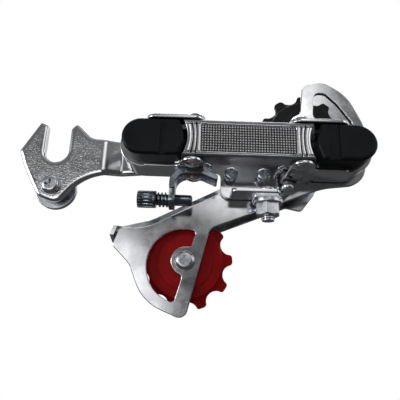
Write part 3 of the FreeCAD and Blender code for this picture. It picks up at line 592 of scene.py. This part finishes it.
def faceLoops(form, facing):  # closed rims of the faces that look one way, and their depth along X
    chosen = [f for f in form.faces if f.normal.y * facing > claw["lean"]]
    depth = sorted({round(v.co.x / mm, 2): v.co.y / mm for f in chosen for v in f.verts}.items())
    inside = set(chosen)
    nextCorner = {}
    for f in chosen:
        for loop in f.loops:
            if not any(other in inside for other in loop.edge.link_faces if other != f):
                nextCorner[loop.vert] = loop.link_loop_next.vert
    loops = []
    while nextCorner:
        corner, following = nextCorner.popitem()
        ring = [corner]
        while following != ring[0]:
            ring.append(following)
            following = nextCorner.pop(following)
        loops.append([(v.co.x / mm, v.co.z / mm) for v in ring])
    return sorted(loops, key=len, reverse=True), depth


def finerRing(ring, step):
    points = []
    for (x0, z0), (x1, z1) in zip(ring, ring[1:] + ring[:1]):
        count = max(1, round(math.hypot(x1 - x0, z1 - z0) / step))
        points += [(x0 + (x1 - x0) * i / count, z0 + (z1 - z0) * i / count) for i in range(count)]
    return points


def depthAt(table, x):
    for (x0, y0), (x1, y1) in zip(table, table[1:]):
        if x <= x1:
            return y0 + (y1 - y0) * max(0.0, (x - x0) / (x1 - x0))
    return table[-1][1]


def fillPoints(rim, holes, near):  # rings along the rim, then an even field inside them
    points = []
    area = sum(x0 * z1 - x1 * z0 for (x0, z0), (x1, z1) in zip(rim, rim[1:] + rim[:1]))
    side = 1 if area > 0 else -1
    for i, (x, z) in enumerate(rim):
        along = Vector(rim[(i + 1) % len(rim)]) - Vector(rim[i - 1])
        across = Vector((-along.y, along.x)).normalized() * side
        for inset in claw["rings"]:
            x1, z1 = x + across.x * inset, z + across.y * inset
            if near.find((x1, z1, 0))[2] > inset - claw["ringSlack"]:
                points.append((x1, z1))
    low, high = min(z for x, z in rim), max(z for x, z in rim)
    for row in range(int((high - low) / claw["pitch"])):
        z = low + (row + 0.5) * claw["pitch"]
        cuts = []
        for ring in [rim] + holes:
            for (x0, z0), (x1, z1) in zip(ring, ring[1:] + ring[:1]):
                if (z0 > z) != (z1 > z):
                    cuts.append(x0 + (x1 - x0) * (z - z0) / (z1 - z0))
        cuts.sort()
        for start, stop in zip(cuts[::2], cuts[1::2]):
            for i in range(int((stop - start) / claw["pitch"])):
                x = start + (i + 0.5 + 0.5 * (row % 2)) * claw["pitch"]
                if x < stop and near.find((x, z, 0))[2] > claw["rings"][-1] + claw["fieldGap"]:
                    points.append((x, z))
    return points


def edgeFall(inset, border, drop):  # quarter round from the rim to the flat
    t = 1 - min(1.0, inset / border)
    return drop * (1 - math.sqrt(max(0.0, 1 - t * t)))


def grainShare(x, inset):  # full inside the border, none on it and none on the neck
    rise = min(1.0, max(0.0, (inset / claw["border"] - claw["grainFrom"]) / claw["grainRise"]))
    return rise * min(1.0, max(0.0, (claw["grainEnd"] - x) / claw["grainFade"]))


def clawGrain(x, z):
    place = Vector((x, z, 0.0)) / claw["grainSize"]
    finer = noise.noise(place * claw["finer"] + Vector(claw["finerShift"]))
    return claw["grainDepth"] * (noise.noise(place) + claw["finerShare"] * finer)


def clawRings():  # rims of the face, and the depth of its front and back along X
    solid = cleanForm("claw_hanger")
    loops, ahead = faceLoops(solid, -1)
    behind = faceLoops(solid, 1)[1]
    solid.free()
    return [finerRing(loop, claw["step"]) for loop in loops], ahead, behind


def rimTree(rim):  # finds the nearest place on the outer rim
    count = len(rim) * claw["rimParts"]
    near = kdtree.KDTree(count)
    for i, (x, z) in enumerate(finerRing(rim, claw["step"] / claw["rimParts"])[:count]):
        near.insert((x, z, 0), i)
    near.balance()
    return near


def clawTriangles(rings, near):  # places, triangles, and the rim that each place lies on
    corners, edges, owner = [], [], {}
    for index, ring in enumerate(rings):
        start = len(corners)
        corners += ring
        edges += [(start + i, start + (i + 1) % len(ring)) for i in range(len(ring))]
        owner.update({start + i: index for i in range(len(ring))})
    corners += fillPoints(rings[0], rings[1:], near)
    flat = geometry.delaunay_2d_cdt([Vector(c) for c in corners], edges, [], 1, 1e-5)
    return flat[0], flat[2], [owner.get(ids[0]) for ids in flat[3]]


def buildClaw():
    rings, ahead, behind = clawRings()
    near = rimTree(rings[0])
    places, triangles, owners = clawTriangles(rings, near)
    form = bmesh.new()
    front, back = [], []
    for (x, z), rim in zip(places, owners):
        inset = 0.0 if rim == 0 else near.find((x, z, 0))[2]
        y = depthAt(ahead, x) + edgeFall(inset, claw["border"], claw["drop"])
        y += clawGrain(x, z) * grainShare(x, inset)
        front.append(form.verts.new((x * mm, y * mm, z * mm)))
        y = depthAt(behind, x) - edgeFall(inset, claw["backBorder"], claw["backDrop"])
        back.append(form.verts.new((x * mm, y * mm, z * mm)))
    for a, b, c in triangles:
        rims = {owners[i] for i in (a, b, c)}
        if len(rims) == 1 and None not in rims and rims != {0}:
            continue  # the hole's own disc
        face = form.faces.new((front[a], front[b], front[c]))
        centre = face.calc_center_median() / mm
        face.material_index = int(grainShare(centre.x, near.find((centre.x, centre.z, 0))[2]) > 0.5)
        form.faces.new((back[c], back[b], back[a]))
    form.verts.index_update()
    openEdges = [e.verts for e in form.edges if len(e.link_faces) == 1 and e.verts[0].index % 2 == 0]
    for a, b in openEdges:
        form.faces.new((a, b, back[b.index // 2], back[a.index // 2]))
    bmesh.ops.recalc_face_normals(form, faces=form.faces)
    piece = standIn("claw_hanger", form, "clawPlate")
    piece.data.materials.append(finish["grained_plate"])
    return len(piece.data.polygons)


print("claw faces:", buildClaw())


# threads on the bare ends of screws, as one ridge wound round the shank

threads = {  # axis, shank radius, pitch and crest in mm; start and stop from the low end of the solid
    "cable_bolt": dict(axis=2, radius=2.5, pitch=0.8, crest=0.26, start=0.35, stop=1.95),
    "limit_screw_high": dict(axis=1, radius=1.5, pitch=0.6, crest=0.22, start=2.2, stop=4.6),
    "limit_screw_low": dict(axis=1, radius=1.5, pitch=0.6, crest=0.22, start=2.2, stop=4.6),
}
winding = dict(around=28, fade=8, flank=0.42, root=-0.1, smooth=30)


def windThread(node, axis, radius, pitch, crest, start, stop):
    lo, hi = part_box(node)
    middle, look = (lo + hi) / 2, winding
    steps, flank = int((stop - start) / pitch * look["around"]), look["flank"] * pitch
    form = bmesh.new()
    sections = []
    for i in range(steps + 1):
        angle = 2 * math.pi * i / look["around"]
        along = lo[axis] / mm + start + (stop - start) * i / steps
        fade = min(1.0, i / look["fade"], (steps - i) / look["fade"])
        profile = ((-flank, look["root"]), (0.0, crest * fade), (flank, look["root"]))
        places = [roundAxis(axis, middle, (along + shift) * mm, (radius + out) * mm, angle)
                  for shift, out in profile]
        sections.append([form.verts.new(place) for place in places])
    for first, second in zip(sections, sections[1:]):
        for k in range(3):
            form.faces.new((first[k], first[(k + 1) % 3], second[(k + 1) % 3], second[k]))
    form.faces.new(sections[0])
    form.faces.new(sections[-1])
    bmesh.ops.recalc_face_normals(form, faces=form.faces)
    name = node + "_thread"
    addPiece(name, meshFrom(form, name, look["smooth"]), node)


for node, look in threads.items():
    windThread(node, **look)
print("threads wound:", len(threads))


# springs of round wire in the place of the solids' square wire

springs = {
    "adjuster_spring": dict(axis=0, wire=0.7, turns=3.0), "tension_spring": dict(axis=1, wire=1.5, turns=3.0),
    "return_spring": dict(axis=2, wire=0.9, turns=4.0),
}
coil = dict(around=24, wireSteps=3)


def windSpring(node, axis, wire, turns):
    lo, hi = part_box(node)
    middle, half = (lo + hi) / 2, wire * mm / 2
    u = otherAxes(axis)[0]
    radius = (hi[u] - lo[u]) / 2 - half
    first, last = lo[axis] + half, hi[axis] - half
    steps = int(turns * coil["around"])
    line = bpy.data.curves.new(node + "_wire", "CURVE")
    line.dimensions = "3D"
    line.bevel_depth = half
    line.bevel_resolution = coil["wireSteps"]
    line.use_fill_caps = True
    track = line.splines.new("POLY")
    track.points.add(steps)
    for i, point in enumerate(track.points):
        along = first + (last - first) * i / steps
        point.co = (*roundAxis(axis, middle, along, radius, 2 * math.pi * turns * i / steps), 1)
    piece = addPiece(node + "_wire", line, node)
    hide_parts(node)


for node, look in springs.items():
    windSpring(node, **look)
print("springs wound:", len(springs))


# outer link: cast channel with a framed panel, ribbed hollow ends and rounded long edges

linkCast = dict(hollow=2.1, shoulder=1.7, shoulderSteps=10, foot=0.8, footSteps=9, wall=1.7, crest=0.12,
                panelDepth=0.55, grooveDepth=0.40, slack=0.01, frameTop=1.75, frameBottom=1.1, frameWidth=0.8,
                slope=0.1, endRound=0.25, endFall=0.05, panelRows=12, panelSteps=14, flangeRound=4.4,
                flangeSteps=6, ribs=((1.95, 2.4), (3.4, 3.8)), ribFall=0.16, ribSide=0.2, ribShare=0.4,
                ridge=((0.0, 0.256), (0.2, 0.16), (0.4, 0.03), (0.6, 0.03), (0.8, 0.16), (1.0, 0.256)),
                panelStart=5.05)
# the second slot is near-black for sunk faces: painted shade in the grooves, the panel's own dark ground
linkPaint = dict(polished=0, ground=1, flank=2)  # material slots


def quarterTurn(steps):  # angles from nothing to a right angle
    return [math.radians(90 * i / steps) for i in range(steps + 1)]


def linkPlace(offset, z, low, high):  # hollow at the end, straight where the panel starts
    t = 2 * (z - low) / (high - low) - 1
    return linkCast["hollow"] * (1 - t * t * max(0.0, 1 - offset / linkCast["panelStart"])) + offset


def linkColumns():  # distance from an end, and how far the face lies back there
    look = linkCast
    slope, fall, side, share = look["slope"], look["ribFall"], look["ribSide"], look["ribShare"]
    columns = [(0.0, look["endRound"]), (look["endRound"], look["endFall"])]
    start = look["endRound"]
    for groove in look["ribs"] + ((look["panelStart"], None),):
        stop = groove[0] - slope
        columns += [((start + stop) / 2, 0.0), (stop - side, fall * share), (stop, fall)]
        if groove[1]:
            columns += [(groove[0], look["grooveDepth"]), (groove[1], look["grooveDepth"])]
            start = groove[1] + slope
            columns += [(start, fall), (start + side, fall * share)]
    return columns + [(look["panelStart"] + slope, look["panelDepth"])]


def frameRidge(front, first, last):  # rounded ridge with a shallow channel on both sides
    return [(front + drop, first + (last - first) * t, "frame") for t, drop in linkCast["ridge"]]


def flangeSteps(back):
    r = linkCast["flangeRound"]
    return [back - r + r * math.cos(a) for a in quarterTurn(linkCast["flangeSteps"])]


def flangeTrim(y, back):  # how far the round of a flange's back corner lies in from the end
    r = linkCast["flangeRound"]
    return r - math.sqrt(max(0.0, r * r - max(0.0, y - back + r) ** 2))


def linkRows(low, high, front, back):  # depth, height and which part of the face it lies in
    look = linkCast
    r, foot, slope = look["shoulder"], look["foot"], look["slope"]
    top, bottom = high - look["frameTop"], low + look["frameBottom"]
    panelTop, panelBottom = top - look["frameWidth"] - slope, bottom + look["frameWidth"] + slope
    rows = [(y, high, "side") for y in flangeSteps(back)]
    for a in quarterTurn(look["shoulderSteps"]):
        depth = front + look["crest"] + r - r * math.sin(a)
        rows.append((depth, high - r + r * math.cos(a), "side"))
    rows += frameRidge(front, top, panelTop + 2 * slope)
    for i in range(look["panelRows"] + 1):
        rows.append((front, panelTop + (panelBottom - panelTop) * i / look["panelRows"], "panel"))
    rows += frameRidge(front, panelBottom - 2 * slope, bottom)
    for a in quarterTurn(look["footSteps"]):
        depth = front + look["crest"] + foot - foot * math.cos(a)
        rows.append((depth, low + foot - foot * math.sin(a), "side"))
    return rows + [(y, low, "side") for y in reversed(flangeSteps(back))]


def linkSink(row, fall, inPanel):
    if row == "side":
        return 0.0
    return fall if row == "panel" or not inPanel else 0.0


def linkRow(form, y, z, row, ends, left, right):
    steps, count = linkCast["panelSteps"], len(ends)
    first, last = left + ends[-1][0], right - ends[-1][0]
    places = [(left + reach, fall) for reach, fall in ends]
    places += [(first + (last - first) * i / steps, linkCast["panelDepth"]) for i in range(1, steps)]
    places += [(right - reach, fall) for reach, fall in reversed(ends)]
    inner = range(count - 1, len(places) - count + 1)
    return [form.verts.new((x * mm, (y + linkSink(row, fall, i in inner)) * mm, z * mm))
            for i, (x, fall) in enumerate(places)]


def joinRows(form, upper, under):
    strip = []
    for i in range(len(upper) - 1):
        face = form.faces.new((upper[i], under[i], under[i + 1], upper[i + 1]))
        face.material_index = linkPaint["flank"]
        strip.append(face)
    return strip


def buildLinkCast():
    look = linkCast
    lo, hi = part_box("outer_link")
    left, front, low = lo / mm
    right, back, high = hi / mm
    columns, wall = linkColumns(), look["wall"]
    form = bmesh.new()
    outside, inside, tags = [], [], []
    for y, z, row in linkRows(low, high, front, back):
        innerY, innerZ = max(y, front + wall), min(max(z, low + wall), high - wall)
        for rows, depth, height, kind in ((outside, y, z, row), (inside, innerY, innerZ, "side")):
            trim = flangeTrim(depth, back) / columns[-1][0]
            ends = []
            for offset, fall in columns:
                reach = linkPlace(offset, height, low, high) + trim * (columns[-1][0] - offset)
                ends.append((reach, fall))
            rows.append(linkRow(form, depth, height, kind, ends, left, right))
        tags.append(row)
    # faces at the grooves' depth or deeper take the near-black: painted shade on the groove floors, the
    # panel's own dark ground between the studs
    sunk = (front + look["grooveDepth"] - look["slack"]) * mm
    for k in range(len(tags) - 1):
        strip = joinRows(form, outside[k], outside[k + 1])
        if tags[k] != "side" or tags[k + 1] != "side":
            for face in strip:
                deep = all(v.co.y > sunk for v in face.verts)
                face.material_index = linkPaint["ground" if deep else "polished"]
        joinRows(form, inside[k + 1], inside[k])
        for end in (0, -1):
            form.faces.new((outside[k][end], inside[k][end], inside[k + 1][end], outside[k + 1][end]))
    joinRows(form, inside[0], outside[0])
    joinRows(form, outside[-1], inside[-1])
    dropSlivers(form)
    bmesh.ops.recalc_face_normals(form, faces=form.faces)
    piece = standIn("outer_link", form, "outerLinkCast")
    piece.data.materials.append(finish["cast_ground"])
    # darker grey on the flanges and rounds
    piece.data.materials.append(finish["cast_flank"])
    return left, right, front, low, high


linkPlaces = buildLinkCast()
print("outer link ready")


# grid of small domed studs on the link's panel; each ring is a radius and its lift
studs = dict(pitch=1.05, rings=((0.36, 0.0), (0.31, 0.20), (0.19, 0.36)), sides=8, lift=0.42, margin=0.75,
             smooth=80)


def buildPanelStuds(left, right, front, low, high):
    look, pitch, rings, sides = linkCast, studs["pitch"], studs["rings"], studs["sides"]
    margin = look["hollow"] + look["panelStart"] + look["slope"] + studs["margin"]
    x0, x1 = left + margin, right - margin
    z0 = low + look["frameBottom"] + look["frameWidth"] + studs["margin"]
    z1 = high - look["frameTop"] - look["frameWidth"] - studs["margin"]
    floor = front + look["panelDepth"]
    turns = [2 * math.pi * k / sides for k in range(sides)]
    pairs = [(k, (k + 1) % sides) for k in range(sides)]
    across, rows = round((x1 - x0) / pitch), round((z1 - z0) / pitch)
    verts, faces = [], []
    for i in range(across + 1):
        for j in range(rows + 1):
            x, z = x0 + (x1 - x0) * i / across, z0 + (z1 - z0) * j / rows
            n = len(verts)
            for radius, lift in rings:
                verts += [((x + radius * math.cos(a)) * mm, (floor - lift) * mm,
                           (z + radius * math.sin(a)) * mm) for a in turns]
            verts.append((x * mm, (floor - studs["lift"]) * mm, z * mm))
            for ring in range(len(rings) - 1):
                m = n + sides * ring
                faces += [(m + k, m + after, m + sides + after, m + sides + k) for k, after in pairs]
            faces += [(m + sides + k, m + sides + after, len(verts) - 1) for k, after in pairs]
            faces.append(tuple(range(n + sides - 1, n - 1, -1)))
    mesh = bpy.data.meshes.new("panelStuds")
    mesh.from_pydata(verts, [], faces)
    smoothFaces(mesh, studs["smooth"])
    addPiece("panelStuds", mesh, "outer_link", "bright_dots")
    return (across + 1) * (rows + 1)


print("link panel studs:", buildPanelStuds(*linkPlaces))


# studio: pale floor and soft light

studio = dict(floorDrop=0.45, floorSize=3.6, floorTone=0.80, floorShade=0.06, floorRough=0.7)
air = {"From Min": -0.25, "From Max": 0.9, "To Min": 0.02, "To Max": 0.22}  # brighter towards the top
lamps = {  # place and size in metres, power in watts
    "keyLight": dict(centre=(-0.50, -0.34, 0.02), width=0.26, height=0.22, power=1.0),
    "topLight": dict(centre=(0.05, 0.20, 0.50), width=0.5, height=0.25, power=1.0),
}
cards = [  # bright cards in the air: direction, outer and inner angle, strength
    ((-0.30, -0.95, 0.0), 15, 11, 1.3),
    ((0.17, -0.84, 0.51), 8, 3, 0.9),
    ((-0.80, -0.57, 0.10), 22, 10, 0.8),
    ((-0.15, -0.93, -0.33), 16, 6, 1.2),
    ((0.75, -0.52, 0.36), 20, 9, 1.1),
    ((0.09, -0.94, 0.33), 7, 2, 0.30),
    ((0.10, -0.90, 0.43), 14, 8, 0.75),
    ((0.05, -0.62, 0.78), 14, 6, 0.12),
    ((0.0, -0.2, 1.0), 45, 15, 0.15),
    ((1.0, -0.1, 0.3), 30, 10, 0.5),
    ((-1.0, 0.1, 0.2), 30, 10, 0.3),
    ((-0.4, 0.9, 0.6), 45, 10, 0.8),
    ((0.7, 0.7, 0.6), 40, 10, 0.6),
]


def floorMaterial(name, tone, shade):  # one tone for the camera, a darker one in reflections
    material = bpy.data.materials.new(name)
    material.use_nodes = True
    nodes, links = material.node_tree.nodes, material.node_tree.links
    shader = nodes["Principled BSDF"]
    shader.inputs["Roughness"].default_value = studio["floorRough"]
    path = nodes.new("ShaderNodeLightPath")
    seen = addColorMix(nodes)
    seen.inputs[6].default_value = (shade, shade, shade, 1)
    seen.inputs[7].default_value = (tone, tone, tone, 1)
    links.new(path.outputs["Is Camera Ray"], seen.inputs["Factor"])
    links.new(seen.outputs[2], shader.inputs["Base Color"])
    return material


def flatCard(name, centre, facing, width, height, material):
    mesh = bpy.data.meshes.new(name)
    w, h = width / 2, height / 2
    mesh.from_pydata([(-w, -h, 0), (w, -h, 0), (w, h, 0), (-w, h, 0)], [], [(0, 1, 2, 3)])
    card = bpy.data.objects.new(name, mesh)
    bpy.context.scene.collection.objects.link(card)
    card.location = centre
    card.rotation_euler = (Vector(facing) - Vector(centre)).to_track_quat("Z", "Y").to_euler()
    mesh.materials.append(material)


def softLight(name, centre, target, width, height, power):
    light = bpy.data.lights.new(name, "AREA")
    light.shape = "RECTANGLE"
    light.size, light.size_y = width, height
    light.energy = power
    lamp = bpy.data.objects.new(name, light)
    lamp.location = centre
    lamp.rotation_euler = (Vector(target) - Vector(centre)).to_track_quat("-Z", "Y").to_euler()
    bpy.context.scene.collection.objects.link(lamp)


def buildWorld():
    world = bpy.data.worlds.new("studioAir")
    world.use_nodes = True
    nodes, links = world.node_tree.nodes, world.node_tree.links
    room = nodes["Background"]
    coords = nodes.new("ShaderNodeTexCoord")
    split = nodes.new("ShaderNodeSeparateXYZ")
    height = nodes.new("ShaderNodeMapRange")
    setInputs(height, air)
    links.new(coords.outputs["Generated"], split.inputs["Vector"])
    links.new(split.outputs["Z"], height.inputs["Value"])
    total = height.outputs["Result"]
    for direction, outer, inner, strength in cards:
        facing = nodes.new("ShaderNodeVectorMath")
        facing.operation = "DOT_PRODUCT"
        facing.inputs[1].default_value = Vector(direction).normalized()
        spread = addRange(nodes, math.cos(math.radians(outer)), math.cos(math.radians(inner)))
        spread.interpolation_type = "SMOOTHSTEP"
        spread.inputs["To Max"].default_value = strength
        gather = nodes.new("ShaderNodeMath")
        links.new(coords.outputs["Generated"], facing.inputs[0])
        links.new(facing.outputs["Value"], spread.inputs["Value"])
        links.new(total, gather.inputs[0])
        links.new(spread.outputs["Result"], gather.inputs[1])
        total = gather.outputs["Value"]
    plain = nodes.new("ShaderNodeBackground")
    plain.inputs["Color"].default_value = (1, 1, 1, 1)
    path = nodes.new("ShaderNodeLightPath")
    mix = nodes.new("ShaderNodeMixShader")
    links.new(total, room.inputs["Color"])
    links.new(path.outputs["Is Camera Ray"], mix.inputs["Fac"])
    links.new(room.outputs["Background"], mix.inputs[1])
    links.new(plain.outputs["Background"], mix.inputs[2])
    links.new(mix.outputs["Shader"], nodes["World Output"].inputs["Surface"])
    bpy.context.scene.world = world


def buildStudio():
    buildWorld()
    bpy.context.scene.view_settings.view_transform = "Standard"
    middle = (cadBox[0] + cadBox[1]) / 2
    paleFloor = floorMaterial("paleFloor", studio["floorTone"], studio["floorShade"])
    flatCard("floor", (middle.x, middle.y, -studio["floorDrop"]), (middle.x, middle.y, 1),
             studio["floorSize"], studio["floorSize"], paleFloor)
    for name, lamp in lamps.items():
        softLight(name, target=middle, **lamp)


buildStudio()
print("studio ready")


# camera of the photograph, place in mm

viewpoint = dict(pitch=16.7, roll=1.9, place=(62.6, -162.8, -68.3), lens=36.0, sensor=36.0, clipStart=0.005)


def buildCamera():
    pitch, roll = math.radians(viewpoint["pitch"]), math.radians(viewpoint["roll"])
    forward = Vector((0, math.cos(pitch), math.sin(pitch)))
    upright = Vector((0, -math.sin(pitch), math.cos(pitch)))
    right = Vector((1, 0, 0)) * math.cos(roll) + upright * math.sin(roll)
    up = upright * math.cos(roll) - Vector((1, 0, 0)) * math.sin(roll)
    camera = bpy.data.objects.new("photoCamera", bpy.data.cameras.new("photoCamera"))
    camera.data.sensor_width = viewpoint["sensor"]
    camera.data.lens = viewpoint["lens"]
    camera.data.clip_start = viewpoint["clipStart"]
    turn = Matrix((right, up, -forward)).transposed().to_4x4()
    camera.matrix_world = Matrix.Translation(Vector(viewpoint["place"]) * mm) @ turn
    bpy.context.scene.collection.objects.link(camera)
    bpy.context.scene.camera = camera


buildCamera()
print("camera ready")
